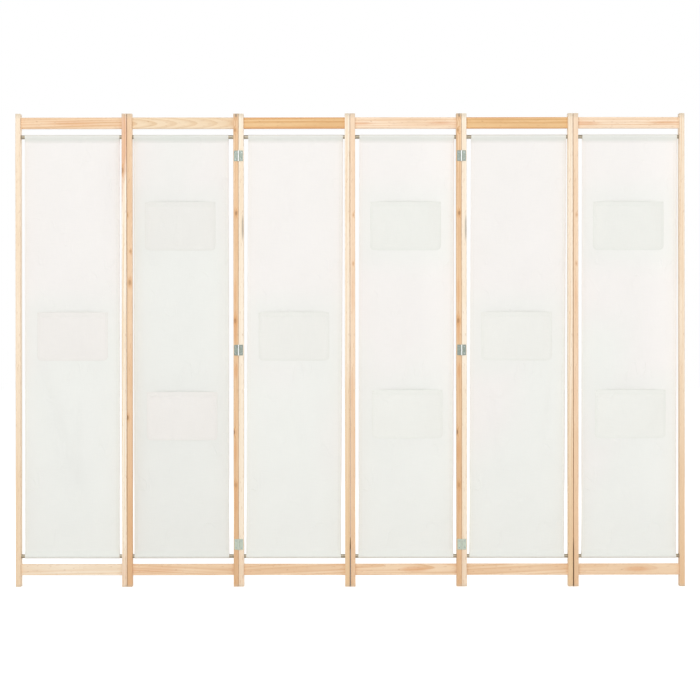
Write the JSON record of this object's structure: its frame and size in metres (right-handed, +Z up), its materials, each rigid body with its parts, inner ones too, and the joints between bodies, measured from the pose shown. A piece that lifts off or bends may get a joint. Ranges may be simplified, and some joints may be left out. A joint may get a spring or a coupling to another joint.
{
  "type": "folding screen",
  "caption": "Folding room divider: hinged pine frames with cream fabric infills held on rods, and patch pockets on the front.",
  "frame": {"origin": "on the floor, in the middle of the unfolded screen's length and depth", "axes": "+X along the unfolded screen to the viewer's right, -Y towards the front with the pockets, +Z up"},
  "size_m": [2.4042, 0.0472, 1.7],
  "materials": {
    "pine": "planed pine with a thin clear matt finish",
    "infill_fabric": "off-white plain-woven fabric",
    "pocket_fabric": "off-white plain-woven fabric, hemmed",
    "rod_steel": "dull steel tube",
    "hinge_zinc": "zinc-plated pressed steel",
    "pin_steel": "zinc-plated pin",
    "screw_steel": "zinc-plated slotted screw"
  },
  "bodies": {
    "panel_1": {"panel_1_left_post": "pine", "panel_1_right_post": "pine", "panel_1_rails": "pine", "panel_1_rods": "rod_steel", "panel_1_fabric": "infill_fabric", "panel_1_pockets": "pocket_fabric", "panel_1_hinge_screws": "screw_steel", "hinge_1_2_left_leaves": "hinge_zinc", "hinge_1_2_pins": "pin_steel"},
    "panel_2": {"panel_2_left_post": "pine", "panel_2_right_post": "pine", "panel_2_rails": "pine", "panel_2_rods": "rod_steel", "panel_2_fabric": "infill_fabric", "panel_2_pockets": "pocket_fabric", "panel_2_hinge_screws": "screw_steel", "hinge_1_2_right_leaves": "hinge_zinc", "hinge_2_3_left_leaves": "hinge_zinc", "hinge_2_3_pins": "pin_steel"},
    "panel_3": {"panel_3_left_post": "pine", "panel_3_right_post": "pine", "panel_3_rails": "pine", "panel_3_rods": "rod_steel", "panel_3_fabric": "infill_fabric", "panel_3_pockets": "pocket_fabric", "panel_3_hinge_screws": "screw_steel", "hinge_2_3_right_leaves": "hinge_zinc", "hinge_3_4_left_leaves": "hinge_zinc", "hinge_3_4_pins": "pin_steel"},
    "panel_4": {"panel_4_left_post": "pine", "panel_4_right_post": "pine", "panel_4_rails": "pine", "panel_4_rods": "rod_steel", "panel_4_fabric": "infill_fabric", "panel_4_pockets": "pocket_fabric", "panel_4_hinge_screws": "screw_steel", "hinge_3_4_right_leaves": "hinge_zinc", "hinge_4_5_left_leaves": "hinge_zinc", "hinge_4_5_pins": "pin_steel"},
    "panel_5": {"panel_5_left_post": "pine", "panel_5_right_post": "pine", "panel_5_rails": "pine", "panel_5_rods": "rod_steel", "panel_5_fabric": "infill_fabric", "panel_5_pockets": "pocket_fabric", "panel_5_hinge_screws": "screw_steel", "hinge_4_5_right_leaves": "hinge_zinc", "hinge_5_6_left_leaves": "hinge_zinc", "hinge_5_6_pins": "pin_steel"},
    "panel_6": {"panel_6_left_post": "pine", "panel_6_right_post": "pine", "panel_6_rails": "pine", "panel_6_rods": "rod_steel", "panel_6_fabric": "infill_fabric", "panel_6_pockets": "pocket_fabric", "panel_6_hinge_screws": "screw_steel", "hinge_5_6_right_leaves": "hinge_zinc"}
  },
  "joints": [
    {"name": "hinge_1_2", "type": "hinge", "parent": "panel_1", "child": "panel_2", "pos_m": [-0.80156, 0.02105, 0.85], "axis": [0, 0, 1], "range_deg": [-1, 177]},
    {"name": "hinge_2_3", "type": "hinge", "parent": "panel_2", "child": "panel_3", "pos_m": [-0.40078, -0.02105, 0.85], "axis": [0, 0, -1], "range_deg": [-1, 177]},
    {"name": "hinge_3_4", "type": "hinge", "parent": "panel_3", "child": "panel_4", "pos_m": [0, 0.02105, 0.85], "axis": [0, 0, 1], "range_deg": [-1, 177]},
    {"name": "hinge_4_5", "type": "hinge", "parent": "panel_4", "child": "panel_5", "pos_m": [0.40078, -0.02105, 0.85], "axis": [0, 0, -1], "range_deg": [-1, 177]},
    {"name": "hinge_5_6", "type": "hinge", "parent": "panel_5", "child": "panel_6", "pos_m": [0.80156, 0.02105, 0.85], "axis": [0, 0, 1], "range_deg": [-1, 177]}
  ]
}
